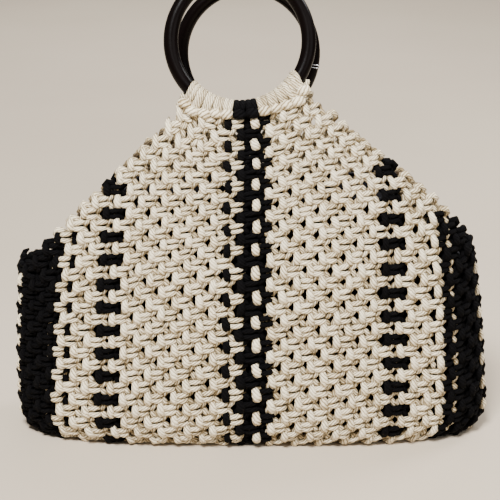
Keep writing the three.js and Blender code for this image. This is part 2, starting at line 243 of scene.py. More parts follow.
# The plan at each share of the height: its reach to the left, the right, the front and the back.
sections = np.array([
    (0, .935, .949, .789, .789), (.028, .963, .981, .901, .901), (.076, .979, 1, .972, .972),
    (.172, .977, .988, 1, 1), (.293, .97, .972, .993, 1), (.414, .958, .951, .972, .986),
    (.552, .944, .925, .923, .951), (.672, .93, .911, .838, .88), (.793, .921, .907, .704, .746),
    (.903, .921, .907, .542, .606), (1, .916, .911, .38, .6), (1.121, .911, .911, .211, .6)])
handles = {
    "front": {"side": -1, "centre": (-8.5, -2.9, 348.0), "lean": 19.0, "wrapMiddle": 4.8},
    "back": {"side": 1, "centre": (-2.4, 43.6, 329.0), "lean": 4.0, "wrapMiddle": 4.2}}
ring = {"radius": 57.4, "tube": 6.1, "reach": 68.0, "arcReach": 52.0, "segments": (128, 24)}
# Levels under zero run on inwards below the bag.
grid = {"turnStep": 0.25, "heightStep": 2.0, "lowest": -64.0, "highest": 340.0, "smooth": 9.0, "planPoints": 241}


def columnOf(turn):
    whole = (turn + quarter) % roundBag - quarter
    return np.where(whole <= quarter, whole, 2 * quarter - whole), whole <= quarter


def surfaceGrid():
    turns = np.arange(-quarter, 3 * quarter + 1e-6, grid["turnStep"])
    levels = np.arange(grid["lowest"], grid["highest"] + 1e-6, grid["heightStep"])
    angles = np.linspace(0, math.pi / 2, grid["planPoints"])
    power = 2 / body["planPower"]
    points = np.zeros((len(turns), len(levels), 3))
    for j, level in enumerate(levels):
        share = max(level, 0) / body["height"]
        inset = max(-level, 0)
        left, right, front, back = (np.interp(share, sections[:, 0], sections[:, k]) for k in (1, 2, 3, 4))
        for sideWays, deep, sign, first in (
                (left, front, (-1, -1), -quarter), (right, front, (1, -1), 0),
                (right, back, (1, 1), quarter), (left, back, (-1, 1), 2 * quarter)):
            across = sideWays * body["width"] / 2 - inset
            depth = max(deep * body["depth"] / 2 - inset, 1.0)
            x = across * np.sin(angles) ** power
            y = depth * np.maximum(np.cos(angles), 0) ** power
            length = np.concatenate([[0], np.cumsum(np.hypot(np.diff(x), np.diff(y)))])
            inside = (turns >= first - 1e-6) & (turns <= first + quarter + 1e-6)
            wanted = np.abs(columnOf(turns[inside])[0]) / quarter * length[-1]
            points[inside, j, 0] = sign[0] * np.interp(wanted, length, x)
            points[inside, j, 1] = sign[1] * np.interp(wanted, length, y)
        points[:, j, 2] = max(level, 0)
    # smoothed along the height, so that the sections don't show as creases
    reach = int(grid["smooth"] / grid["heightStep"])
    kernel = np.hanning(2 * reach + 3)[1:-1]
    kernel /= kernel.sum()
    padded = np.pad(points, ((0, 0), (reach, reach), (0, 0)), mode="edge")
    smooth = sum(kernel[k] * padded[:, k:k + len(levels)] for k in range(len(kernel)))
    smooth[:, :reach], smooth[:, -reach:] = points[:, :reach], points[:, -reach:]
    alongTurn = np.roll(smooth[:-1], -1, axis=0) - np.roll(smooth[:-1], 1, axis=0)
    alongTurn = np.concatenate([alongTurn, alongTurn[:1]])
    alongHeight = np.gradient(smooth, axis=1)
    normals = np.cross(alongTurn, alongHeight)
    normals /= np.linalg.norm(normals, axis=2, keepdims=True) + 1e-12
    return smooth, normals


surfacePoints, surfaceNormals = surfaceGrid()


def onGrid(table, turn, level):
    across = ((turn + quarter) % roundBag) / grid["turnStep"]
    up = np.clip((level - grid["lowest"]) / grid["heightStep"], 0, table.shape[1] - 1.001)
    i, j = np.floor(across).astype(int), np.floor(up).astype(int)
    i = np.minimum(i, table.shape[0] - 2)
    s, t = (across - i)[..., None], (up - j)[..., None]
    return ((1 - s) * (1 - t) * table[i, j] + s * (1 - t) * table[i + 1, j]
            + (1 - s) * t * table[i, j + 1] + s * t * table[i + 1, j + 1])


# Heights of the knot rows at the middle of the front, and how far each row bows.
rowTable = np.array([
    (0, 301), (1, 284.5), (2, 267.4), (3, 252.7), (4, 236.3), (5, 219.4), (6, 202.3), (7, 184.3),
    (8, 164.3), (9, 142.9), (10, 121.9), (11, 100.6), (12, 78.9), (13, 56), (14, 31.8), (15, 10),
    (16, -11.5), (17, -33), (18, -51)])
bowTable = np.array([(1, -5.5), (4, -1.7), (6, 2.2), (8, 4.8), (10, 3.0), (12, 2.0), (15, 0)])
# How many columns outwards the knots lean from even spacing: row, on the left, on the right.
pushTable = np.array([
    (0, .2, .26), (3, .15, .2), (4, .1, .26), (5, .05, .4), (6, .04, .34), (7, 0, .27), (8, .03, .22),
    (9, 0, .12), (11, 0, .08), (14, .08, .1), (15.5, .06, .1), (17, 0, 0)])
# The same again for the outer columns only.
edgePushTable = np.array([
    (6, 0, .12), (7, 0, .2), (8, .07, .25), (9, .07, .28), (11, .11, .26), (12, .14, .22), (13, .2, .15),
    (14, .24, .12), (15, .36, .12), (16, .3, .06), (17, 0, 0)])
# How far the rows hang below their line at the gussets, in millimetres: row, on the left, on the right.
dropTable = np.array([
    (8, 0, 0), (9, -3, 1.5), (12, -2.2, 4), (14, 0, 5.8), (15, .8, 6.5), (16, 1, 6), (17.5, 0, 0)])
# Pairs ending in Over say where a change starts and the length over which it comes about.
rows = {
    "frontFirstRow": 1.0, "backFirstRow": 2.5, "tilt": 0.053, "upperTilt": 9.0, "upperReach": 100.0,
    "tiltOver": (5, 3), "flatOver": (15, 2.5), "bowWidth": 118.0, "bowMost": 2.2, "spread": 0.13,
    "spreadOver": (3, 4), "leanStart": 0.6, "leanRows": (3, 5), "leanReach": (1, 4.5), "outerOver": (5.5, 2),
    "sideOver": (9.5, 1.5), "arcShare": (0.6, 0.22), "arcFade": (1.3, 2.6), "arcAbove": -0.6,
    "bulge": 4.0, "bulgeRowsOver": (-0.5, 2), "bulgeColumnsOver": (0.96, 3.2),
    "flatBelow": 1.5, "flatDepth": 1.2}


def rise(value, start, length):
    return np.clip((value - start) / length, 0, 1)


def bySide(table, column, row):
    return np.where(column < 0, *(np.interp(row, table[:, 0], table[:, k]) for k in (1, 2)))


def firstRowOf(onFront):
    return np.where(onFront, rows["frontFirstRow"], rows["backFirstRow"])


def spreadTurn(turn, row):
    column, onFront = columnOf(turn)
    away = np.abs(column)
    fade = 1 - rise(away, *rows["spreadOver"])
    push = rows["spread"] * np.tanh(2 * column) * fade * fade * (3 - 2 * fade)
    reach = np.interp(row, rows["leanRows"], rows["leanReach"])
    lean = (bySide(pushTable, column, row) * rise(away, rows["leanStart"], reach)
            + bySide(edgePushTable, column, row) * rise(away, *rows["outerOver"]))
    push = push + np.sign(column) * lean * (1 - rise(away, *rows["sideOver"]))
    return turn + np.where(onFront, push, -push)


def arcRise(x, onFront):
    # how far the ring has risen at x, from its lowest point
    lift = np.zeros_like(x)
    for name, mask in (("front", onFront), ("back", ~onFront)):
        handle = handles[name]
        away = np.minimum(np.abs(x - handle["centre"][0]), ring["arcReach"])
        arc = (ring["reach"] - np.sqrt(ring["reach"] ** 2 - away ** 2)) * math.cos(math.radians(handle["lean"]))
        lift = np.where(mask, arc, lift)
    return lift


def levelOf(turn, row):
    column, onFront = columnOf(turn)
    level = np.interp(row, rowTable[:, 0], rowTable[:, 1])
    x = onGrid(surfacePoints, turn, level)[..., 0]
    lower = rise(row, *rows["tiltOver"])
    tilt = (1 - lower) * rows["upperTilt"] * np.tanh(x / rows["upperReach"]) + lower * rows["tilt"] * x
    tilt = tilt * (1 - rise(row, *rows["flatOver"]))
    bow = np.interp(row, bowTable[:, 0], bowTable[:, 1])
    bow = bow * np.minimum((x / rows["bowWidth"]) ** 2, rows["bowMost"])
    # the first rows follow the ring that they hang from, more on the left than on the right
    below = np.maximum(row - firstRowOf(onFront), rows["arcAbove"])
    shares = [share * np.exp(-below / fade) for share, fade in zip(rows["arcShare"], rows["arcFade"])]
    share = np.where(x < handles["front"]["centre"][0], *shares)
    drop = bySide(dropTable, column, row) * rise(np.abs(column), *rows["outerOver"])
    return level + tilt - bow - drop + share * arcRise(x, onFront)


def ontoBag(turn, row, out):
    placed = spreadTurn(turn, row)
    level = levelOf(placed, row)
    column, onFront = columnOf(placed)
    start, length = rows["bulgeRowsOver"]
    near = 1 - rise(row, firstRowOf(onFront) + start, length)
    near = near * (1 - rise(np.abs(column), *rows["bulgeColumnsOver"]))
    points = onGrid(surfacePoints, placed, level)
    normals = onGrid(surfaceNormals, placed, level)
    normals /= np.linalg.norm(normals, axis=-1, keepdims=True)
    points = points + normals * (out - body["wall"] / 2 + rows["bulge"] * near)[..., None]
    # the cords lie flattened where the bag stands on them
    under = np.maximum(rows["flatBelow"] - points[..., 2], 0)
    points[..., 2] += under - rows["flatDepth"] * np.tanh(under / rows["flatDepth"])
    return points


print("surface charted")


def straightCord(sides, cuts, taper):
    # A straight cord of length 1 and radius 1, with rounded closed ends.
    bpy.ops.object.select_all(action="DESELECT")
    bpy.ops.mesh.primitive_cylinder_add(vertices=sides, radius=1, depth=1, end_fill_type="TRIFAN",
                                        location=(0, 0, 0.5))
    piece = bpy.context.object
    bpy.ops.object.mode_set(mode="EDIT")
    bpy.ops.mesh.select_all(action="DESELECT")
    mesh = bmesh.from_edit_mesh(piece.data)
    for edge in mesh.edges:
        edge.select = abs(edge.verts[0].co.z - edge.verts[1].co.z) > 0.5
    bmesh.update_edit_mesh(piece.data)
    bpy.ops.mesh.subdivide(number_cuts=cuts)
    bpy.ops.mesh.select_all(action="DESELECT")
    mesh = bmesh.from_edit_mesh(piece.data)
    for vert in mesh.verts:
        atEnd = abs(vert.co.z) > 0.499
        vert.select = atEnd and vert.co.xy.length > 0.5
    mesh.select_flush_mode()
    bmesh.update_edit_mesh(piece.data)
    bpy.ops.transform.resize(value=(taper, taper, 1))
    bpy.ops.object.mode_set(mode="OBJECT")
    data = piece.data
    shape = {
        "points": np.array([v.co for v in data.vertices]) + np.array([0, 0, 0.5]),
        "corners": np.array([i for p in data.polygons for i in p.vertices]),
        "sizes": np.array([len(p.vertices) for p in data.polygons])}
    bpy.data.objects.remove(piece, do_unlink=True)
    bpy.data.meshes.remove(data)
    return shape


def smoothPath(knots, count=33, stepsBetween=12):
    # A rounded line through the given points, with even steps.
    knots = np.array(knots, float)
    padded = np.vstack([2 * knots[0] - knots[1], knots, 2 * knots[-1] - knots[-2]])
    line = []
    for i in range(1, len(padded) - 2):
        a, b, c, d = padded[i - 1:i + 3]
        for t in np.linspace(0, 1, stepsBetween, endpoint=False):
            line.append(0.5 * (2 * b + (c - a) * t + (2 * a - 5 * b + 4 * c - d) * t ** 2
                               + (3 * b - a - 3 * c + d) * t ** 3))
    line = np.array(line + [knots[-1]])
    length = np.concatenate([[0], np.cumsum(np.linalg.norm(np.diff(line, axis=0), axis=1))])
    even = np.linspace(0, length[-1], count)
    return np.stack([np.interp(even, length, line[:, k]) for k in range(3)], axis=1), length[-1]


def layCord(shape, path, radius, widths=(1.0, 1.0), out=(0, 0, 1), swell=0.0, widening=1.0):
    # Bends a straight cord onto a path. widths: across and outwards, as shares of the radius.
    # swell: how much thicker the middle is than the ends. widening: the last end against the first.
    line, length = smoothPath(path)
    tangents = np.gradient(line, axis=0)
    tangents /= np.linalg.norm(tangents, axis=1, keepdims=True)
    up = np.array(out, float)
    ups = []
    for tangent in tangents:
        up = up - tangent * (up @ tangent)
        up = up / np.linalg.norm(up)
        ups.append(up)
    ups = np.array(ups)
    sides = np.cross(ups, tangents)
    z = np.clip(shape["points"][:, 2], 0, 1) * (len(line) - 1)
    i = np.minimum(z.astype(int), len(line) - 2)
    t = (z - i)[:, None]

    def at(values):
        return values[i] * (1 - t) + values[i + 1] * t

    x, y = shape["points"][:, :1], shape["points"][:, 1:2]
    share = np.clip(shape["points"][:, 2:], 0, 1)
    thick = radius * (1 + swell * (np.sin(math.pi * share) - 0.6)) * (1 + (widening - 1) * (share - 0.5))
    points = at(line) + thick * (x * widths[0] * at(sides) + y * widths[1] * at(ups))
    size = np.maximum(np.hypot(x, y), 1e-6)
    place = np.concatenate([x / size, y / size, shape["points"][:, 2:] * length], axis=1)
    return points, place


def addMesh(name, points, corners, sizes, place, tone, material):
    mesh = bpy.data.meshes.new(name)
    mesh.vertices.add(len(points))
    mesh.vertices.foreach_set("co", (points * millimetre).astype(np.float32).ravel())
    mesh.loops.add(len(corners))
    mesh.loops.foreach_set("vertex_index", corners.astype(np.int32))
    mesh.polygons.add(len(sizes))
    starts = np.concatenate([[0], np.cumsum(sizes)[:-1]])
    mesh.polygons.foreach_set("loop_start", starts.astype(np.int32))
    mesh.update(calc_edges=True)
    mesh.polygons.foreach_set("use_smooth", np.ones(len(sizes), bool))
    if place is not None:
        # what the cotton needs: where a point is on its cord, and how light the cord is, a random tone that in
        # the knots also holds painted shade by depth
        places = mesh.attributes.new("cordPlace", "FLOAT_VECTOR", "POINT")
        places.data.foreach_set("vector", place.astype(np.float32).ravel())
        toneAndShadeValues = mesh.attributes.new("cordToneAndShade", "FLOAT", "POINT")
        toneAndShadeValues.data.foreach_set("value", tone.astype(np.float32))
    mesh.materials.append(material)
    piece = bpy.data.objects.new(name, mesh)
    bpy.context.scene.collection.objects.link(piece)
    return piece


class Hank:
    # Cords gathered for one piece before its mesh is made.
    def __init__(self):
        self.points, self.corners, self.sizes, self.place, self.tone, self.count = [], [], [], [], [], 0

    def add(self, points, shape, place, tone):
        # points: copies x vertices x 3
        copies, size = points.shape[:2]
        offsets = self.count + size * np.arange(copies)[:, None]
        self.points.append(points.reshape(-1, 3))
        self.corners.append((shape["corners"][None, :] + offsets).ravel())
        self.sizes.append(np.tile(shape["sizes"], copies))
        self.place.append(place.reshape(-1, 3))
        self.tone.append(np.broadcast_to(tone, (copies, size)).ravel())
        self.count += copies * size

    def make(self, name, material):
        points = np.concatenate(self.points) + bagShift
        return addMesh(name, points, np.concatenate(self.corners), np.concatenate(self.sizes),
                       np.concatenate(self.place), np.concatenate(self.tone), material)


barCord = straightCord(8, 3, 0.55)
linkCord = straightCord(6, 3, 0.7)
wrapCord = straightCord(8, 15, 0.6)

# One square knot, flat: across to the right, up, and out of the cloth, in millimetres.
# Each strand: its name, which of the knot's cords it is, 0 to 3 from the left, its straight cord, its
# path, radius, widths, swell and widening.
knotStrands = [
    ("bump", 3, barCord,
     [(-6.1, 6.9, -1.2), (-6.8, 4.5, 2.1), (-6.3, 0.2, 3.9), (-5.4, -4.3, 2.2), (-4.7, -6.6, -1.2)],
     2.8, (1.05, 0.9), 0.22, 1.55),
    ("upperBar", 0, barCord,
     [(-5.6, 1.4, 0.6), (-3.2, 1.9, 2.4), (0.6, 2.4, 2.9), (4.0, 3.2, 1.9), (6.2, 3.6, -0.9)],
     2.3, (1.0, 0.95), 0.15, 1.0),
    ("lowerBar", 0, barCord,
     [(-5.2, -2.3, 0.4), (-2.8, -2.9, 2.2), (0.8, -3.1, 2.7), (3.8, -2.8, 1.7), (5.8, -2.2, -0.9)],
     2.25, (1.0, 0.95), 0.15, 0.95),
    ("turn", 0, linkCord, [(4.6, 3.2, -1.0), (6.0, 0.4, -1.2), (4.6, -2.6, -1.0)], 1.9, (1, 1), 0.0, 1.0),
    ("linkA", 0, linkCord,
     [(-9.6, 8.4, -1.8), (-9.0, 6.2, 0.2), (-7.9, 4.0, 0.2), (-5.8, 2.0, -0.8)],
     2.2, (1, 1), 0.1, 1.0),
    ("linkB", 1, linkCord,
     [(-4.6, 9.6, -1.6), (-3.0, 7.8, 0.5), (-1.9, 5.4, 0.2), (-1.4, 2.6, -1.4)],
     2.25, (1, 1), 0.1, 1.0),
    ("linkC", 2, linkCord,
     [(4.0, 9.0, -1.6), (2.6, 7.2, 0.0), (1.8, 5.0, -0.2), (1.4, 2.6, -1.6)],
     2.25, (1, 1), 0.1, 1.0),
    ("linkD", 3, linkCord,
     [(10.2, 9.0, -1.8), (9.6, 6.4, 0.5), (8.2, 3.9, 1.0), (6.0, 1.4, 0.4), (4.2, 0.2, -1.4)],
     2.2, (1, 1), 0.1, 1.0),
    ("backUpper", 3, linkCord, [(-6.4, 2.4, -1.8), (0, 3.0, -3.4), (6.8, 2.4, -1.8)], 2.2, (1, 1), 0.0, 1.0),
    ("backLower", 3, linkCord, [(-6.4, -2.4, -1.8), (0, -3.0, -3.4), (6.8, -2.4, -1.8)], 2.2, (1, 1), 0.0, 1.0),
]
# The loop that holds a cord added at a sloping edge. On the right edge it is turned over.
edgeStrands = [
    ("outerLoop", 0, barCord,
     [(0.6, 3.0, -0.8), (-2.2, 5.8, 0.8), (-6.0, 7.0, 1.4), (-9.2, 5.4, 0.8), (-9.8, 1.8, -0.6),
      (-7.4, -0.4, -1.6)],
     2.65, (1, 1), 0.15, 1.0),
    ("innerLoop", 0, barCord,
     [(-1.0, 4.6, -3.0), (-5.0, 6.4, -3.2), (-8.8, 5.4, -3.0), (-9.8, 1.2, -2.6), (-7.0, -1.4, -2.6)],
     2.3, (1, 1), 0.15, 1.0),
]
# The size of a knot on the bag, how much strands stray from the pattern, and how light they are: a random tone,
# plus painted shade that colours strands darker the deeper they lie in the cloth and lighter the further out.
knot = {"pitch": 20.6, "rowPitch": 21.5, "stray": 0.32, "strayOut": 0.6, "stretch": 0.035, "lean": 0.075,
        "tone": (0.13, 0.31), "paintedDepthShade": 0.065, "unshadedOut": 2}
# Each cord's ply pattern starts somewhere else, up to this many millimetres on.
plyStart = 40

# Cords are numbered round the bag from the middle of the front, 44 to each side of it.
sideCords = 4 * quarter
blackNumbers = {-2, -1, 0, 1, 20, 23, 28, 30, *range(32, sideCords)}
# One cream cord runs down the front part of each gusset, and shows only where its knots stand out.
gussetCords = {-37, 41}


def isBlack(number, link=False):
    # The back repeats the front, and apart from the stripe the left mirrors the right.
    if number < -sideCords:
        number += 4 * sideCords
    if number >= sideCords:
        number = 2 * sideCords - 1 - number
    if number in gussetCords:
        return link
    if number < 0 and number not in (-2, -1):
        number = -1 - number
    return number in blackNumbers


# Where the knots stand. The upper rows end at the sloping edges, so many columns further out than their
# row number says; from wholeRow on they run right round. plain: the last rows without loops at the edge.
layout = {
    "halfRows": (2, 36), "wholeRow": 8.5, "cornerRow": 7.5, "cornerColumn": -9, "front": 1.6, "frontLow": 2.1,
    "back": 0.6, "backFirst": 0.1, "backLow": 1.6, "backLowRow": 8,
    "plainBack": 3.0, "plainRight": 1.0, "plainLeft": 2.0,
    "wrapsFront": 1.7, "wrapsBack": 2.7, "wrapsColumn": 2.2,
    "baseRow": 15.6, "stripeColumn": 0.62, "gussetColumn": 7.62}


def rowLimit(row, column, onFront):
    # the column where a row ends
    inCorner = onFront and column < layout["cornerColumn"] and row >= layout["cornerRow"]
    if row >= layout["wholeRow"] or inCorner:
        return roundBag
    if onFront:
        return row + layout["frontLow" if row >= layout["cornerRow"] else "front"]
    if row < rows["backFirstRow"]:
        return -1
    if row == rows["backFirstRow"]:
        return row + layout["backFirst"]
    return row + layout["backLow" if row >= layout["backLowRow"] else "back"]


def knotPlaces():
    # (turn, row, edge): edge is -1 or 1 where the knot ends its row at a sloping edge.
    places = []
    for half in range(*layout["halfRows"]):
        row = half / 2
        offset = 0.5 if half % 2 == 0 else 0.0
        for step in range(roundBag):
            turn = -quarter + offset + step
            column, onFront = columnOf(turn)
            limit = rowLimit(row, column, onFront)
            if abs(column) > limit:
                continue
            lastPlain = layout["plainBack" if not onFront else "plainRight" if column > 0 else "plainLeft"]
            atEdge = abs(column) > limit - 1.0 and row > lastPlain
            outward = (1 if column > 0 else -1) * (1 if onFront else -1)
            places.append((turn, row, outward if atEdge else 0))
    return places


def regionOf(turn, row):
    if row > layout["baseRow"]:
        return "base_panel"
    column, onFront = columnOf(turn)
    face = "front" if onFront else "back"
    side = "right" if column > 0 else "left"
    if abs(column) < layout["stripeColumn"]:
        return f"{face}_stripe"
    if abs(column) > layout["gussetColumn"]:
        return f"{side}_gusset"
    return f"{face}_panel_{side}"


def sortStrands(places):
    # Which knots have each strand, by the piece that the strand belongs to.
    groups = {}
    standing = {((turn + quarter) % roundBag, row) for turn, row, _ in places}
    for turn, row, edge in places:
        first = int(4 * turn) - 2
        region = regionOf(turn, row)
        column, onFront = columnOf(turn)
        # a link is left out where no knot and no wraps stand above it
        underWraps = row < layout["wrapsFront" if onFront else "wrapsBack"]
        facing = 1 if onFront else -1
        held = {side: (underWraps and abs(column + facing * side * 0.5) < layout["wrapsColumn"])
                or ((turn + side / 2 + quarter) % roundBag, row - 0.5) in standing for side in (-1, 1)}
        for index, (name, cord, *_) in enumerate(knotStrands):
            link = name.startswith("link")
            if link and not held[-1 if cord < 2 else 1]:
                continue
            colour = "black" if isBlack(first + cord, link) else "cream"
            groups.setdefault((region, colour, index, 1), []).append((turn, row))
        if edge:
            colour = "black" if isBlack(first if edge < 0 else first + 3) else "cream"
            for index in range(len(knotStrands), len(knotStrands) + len(edgeStrands)):
                groups.setdefault((region, colour, index, -edge), []).append((turn, row))
    return groups


def knottedBody(places):
    allStrands = knotStrands + edgeStrands
    hanks = {}
    for (region, colour, index, flip), spots in sorted(sortStrands(places).items()):
        _, _, shape, path, radius, widths, swell, widening = allStrands[index]
        flipped = [(flip * x, y, z) for x, y, z in path]
        points, place = layCord(shape, flipped, radius, widths, swell=swell, widening=widening)
        spots = np.array(spots)
        copies = len(spots)
        stray = rng.normal(0, knot["stray"], (copies, 1, 3)) * np.array([1, 1, knot["strayOut"]])
        stretch = 1 + rng.normal(0, knot["stretch"], (copies, 1, 3))
        lean = rng.normal(0, knot["lean"], (copies, 1))
        flat = points[None] * stretch + stray
        across, upward, out = flat[..., 0], flat[..., 1], flat[..., 2]
        turn = spots[:, 0][:, None] + (across * np.cos(lean) - upward * np.sin(lean)) / knot["pitch"]
        row = spots[:, 1][:, None] - (across * np.sin(lean) + upward * np.cos(lean)) / knot["rowPitch"]
        laid = ontoBag(turn, row, out)
        along = np.repeat(place[None], copies, axis=0)
        along[..., 2] += rng.uniform(0, plyStart, (copies, 1))
        # painted shade: strands lying deeper in the cloth are coloured darker, those further out lighter
        tone = rng.uniform(*knot["tone"], (copies, 1)) + knot["paintedDepthShade"] * (out - knot["unshadedOut"])
        hanks.setdefault((region, colour), Hank()).add(laid, shape, along, tone)
    made = []
    for (region, colour), hank in sorted(hanks.items()):
        piece = hank.make(f"{region}_{colour}_cords", creamCotton if colour == "cream" else blackCotton)
        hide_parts(region)
        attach(piece, "root")
        made.append(piece)
    return made


knots = knotPlaces()
knotted = knottedBody(knots)
print("knotted body made,", len(knots), "knots,", sum(len(p.data.polygons) for p in knotted), "faces")


# Cords looped over the rings in pairs, each pair held by a cross bar, its ends hanging into the knots.
# barReach: how far each cross bar lies from the ring's centre, from the middle to the end of the wraps.
# lean: how far the wraps' outer ends are drawn towards the middle, growing to the end of the wraps.
wraps = {
    "pitch": {"left": 4.27, "middle": 5.2, "right": 4.55}, "stripeStrands": 4, "lift": 8.75, "cord": 2.35,
    "barReach": {"left": (62.9, 63.9, 67.9, 71.0, 69.6), "middle": (62.2, 62.2),
                 "right": (62.6, 64.0, 66.4, 70.4, 67.8)},
    "lean": 3.4, "leanAt": 46, "leanMost": 1.2, "press": 0.5,
    "angles": np.concatenate([[62, 90], np.linspace(120, 330, 12), [360]]), "tuck": 0.8, "tuckOver": (50, 70),
    "stray": 0.12, "startShift": 0.9, "startOut": 5.0, "endReach": -1, "endOut": -3.0, "closeReach": 63,
    "crowd": 1.06, "crowdMost": 1.15, "tone": (0.18, 0.4)}
bars = {
    "shares": (-0.82, -0.68, -0.28, 0.28, 0.68, 0.82), "outs": (2.4, 6.0, 8.4, 8.4, 6.0, 2.4), "length": 0.95,
    "raiseWithin": 63.5, "raise": 2.0, "tipStray": 0.5, "tip": 2.2, "tipAt": 40,
    "cord": 3.3, "widths": (1.15, 0.85), "swell": 0.5, "tone": (0.25, 0.42)}
# path: outwards, and up
ends = {"shift": 0.42, "reach": -1.5, "out": 4.5, "path": ((0, 0), (0.6, -2.5), (0.6, -5.0), (-0.6, -7.5)),
        "draw": 0.25, "drawAt": 30, "cord": 2.1, "tone": (0.1, 0.3)}
sideways = np.array([1.0, 0, 0])


def directionsOf(handle):
    # down from the ring's middle, and out from its outer face
    lean = math.radians(handle["lean"])
    down = np.array([0, -math.sin(lean), -math.cos(lean)])
    return down, handle["side"] * np.array([0, math.cos(lean), -math.sin(lean)])


def alongRing(handle, along):
    phi, lean = along / ring["radius"], math.radians(handle["lean"])
    return np.array([math.cos(phi), math.sin(phi) * math.sin(lean), math.sin(phi) * math.cos(lean)])


def onHandle(handle, along, around, lift):
    # along: millimetres round the ring from straight down; around: degrees round the tube, 90 on the outer face
    down, face = directionsOf(handle)
    phi = np.atleast_1d(along / ring["radius"])[:, None]
    radial = np.atleast_1d(ring["radius"] + lift * np.cos(np.radians(around)))[:, None]
    outward = np.atleast_1d(lift * np.sin(np.radians(around)))[:, None]
    return np.array(handle["centre"]) + radial * (np.sin(phi) * sideways + np.cos(phi) * down) + outward * face


def onRing(handle, along, radial, outward):
    # a point at a distance from the ring's centre, and out from the ring's own plane
    lift = math.hypot(radial - ring["radius"], outward)
    around = math.degrees(math.atan2(outward, radial - ring["radius"]))
    return onHandle(handle, along, around, lift)[0]


def pressed(handle, points):
    # Cords are pressed thin against the inside of the ring, where they crowd.
    down, face = directionsOf(handle)
    moved = points - np.array(handle["centre"])
    across, drop, out = moved[:, 0], moved @ down, moved @ face
    radial = np.hypot(across, drop)
    lift = np.hypot(radial - ring["radius"], out)
    inner = np.maximum((ring["radius"] - radial) / lift, 0)
    above = np.maximum(lift - ring["tube"], 0) * (1 - wraps["press"] * inner)
    share = (ring["tube"] + above) / np.maximum(lift, ring["tube"])
    scale = (ring["radius"] + (radial - ring["radius"]) * share) / radial
    return (np.array(handle["centre"]) + (across * scale)[:, None] * sideways
            + (drop * scale)[:, None] * down + (out * share)[:, None] * face)


def wrapPairs(handle):
    # each pair of strands is one looped cord: its part, its middle, and the reach of its cross bar
    middle = math.radians(handle["wrapMiddle"]) * ring["radius"]
    pitch, half = wraps["pitch"], wraps["pitch"]["middle"] * wraps["stripeStrands"] / 2
    pairs = []
    for k, reach in enumerate(wraps["barReach"]["middle"]):
        pairs.append(("middle", middle + (2 * k - 1) * pitch["middle"], reach))
    for part, sign in (("left", -1), ("right", 1)):
        for k, reach in enumerate(wraps["barReach"][part]):
            pairs.append((part, middle + sign * (half + (2 * k + 1) * pitch[part]), reach))
    return pairs


def addWrapStrand(hank, handle, pitch, spot, side, reach, drawn):
    # from the cross bar up over the front of the ring, down its back, and out below it
    centre = np.array(handle["centre"])
    tuck = (-side * wraps["tuck"] + drawn) * (1 - rise(wraps["angles"], *wraps["tuckOver"]))
    path = onHandle(handle, spot + tuck + rng.normal(0, wraps["stray"]), wraps["angles"],
                    wraps["lift"] + rng.normal(0, wraps["stray"]))
    start = onRing(handle, spot - side * wraps["startShift"] + drawn, reach, wraps["startOut"])
    end = onRing(handle, spot + drawn, reach + wraps["endReach"], wraps["endOut"])
    path = np.concatenate([start[None], path[1 if reach < wraps["closeReach"] else 0:], end[None]])
    points, place = layCord(wrapCord, path, wraps["cord"], out=-(path[0] - centre))
    # cords crowd on the inside of the ring and open out on its outside
    line, _ = smoothPath(path)
    share = np.clip(wrapCord["points"][:, 2], 0, 1)
    centreLine = line[np.clip((share * (len(line) - 1)).round().astype(int), 0, len(line) - 1)]
    spread = np.linalg.norm(centreLine - centre, axis=1)
    crowd = np.minimum(pitch * wraps["crowd"] / (2 * wraps["cord"]) * spread / ring["radius"], wraps["crowdMost"])
    axis = alongRing(handle, spot)
    points = pressed(handle, points + ((crowd - 1) * ((points - centreLine) @ axis))[:, None] * axis)
    place[:, 2] += rng.uniform(0, plyStart)
    hank.add(points[None], wrapCord, place[None], rng.uniform(*wraps["tone"]))


def addCrossBar(hank, handle, pitch, spot, along, reach):
    _, face = directionsOf(handle)
    outs = np.array(bars["outs"]) + (bars["raise"] if reach < bars["raiseWithin"] else 0)
    tip = rng.normal(0, bars["tipStray"]) + bars["tip"] * np.sign(along) * min(abs(along) / bars["tipAt"], 1)
    path = [onRing(handle, spot + k * pitch * bars["length"], reach + tip * k, out)
            for k, out in zip(bars["shares"], outs)]
    points, place = layCord(barCord, path, bars["cord"], bars["widths"], out=face, swell=bars["swell"])
    place[:, 2] += rng.uniform(0, plyStart)
    hank.add(points[None], barCord, place[None], rng.uniform(*bars["tone"]))


def addHangingEnds(hank, handle, pitch, spot, along, reach):
    _, face = directionsOf(handle)
    for side in (-1, 1):
        start = onRing(handle, spot + side * pitch * ends["shift"], reach + ends["reach"], ends["out"])
        draw = -ends["draw"] * np.sign(along) * min(abs(along) / ends["drawAt"], 1)
        path = [start + np.array([draw * step, handle["side"] * out, up])
                for step, (out, up) in enumerate(ends["path"])]
        points, place = layCord(linkCord, path, ends["cord"], out=face)
        place[:, 2] += rng.uniform(0, plyStart)
        hank.add(points[None], linkCord, place[None], rng.uniform(*ends["tone"]))


def wrapHandle(name):
    handle = handles[name]
    hanks = {part: Hank() for part in wraps["barReach"]}
    for part, along, reach in wrapPairs(handle):
        hank, pitch = hanks[part], wraps["pitch"][part]
        drawn = -wraps["lean"] * np.sign(along) * min(abs(along) / wraps["leanAt"], wraps["leanMost"]) ** 2
        for side in (-1, 1):
            addWrapStrand(hank, handle, pitch, along + side * pitch / 2, side, reach, drawn)
        addCrossBar(hank, handle, pitch, along + drawn, along, reach)
        addHangingEnds(hank, handle, pitch, along + drawn, along, reach)
    for part, hank in hanks.items():
        black = part == "middle"
        piece = hank.make(f"{name}_wrap_cords_{part}", blackCotton if black else creamCotton)
        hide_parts(f"{name}_wraps_{part}")
        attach(piece, "root")


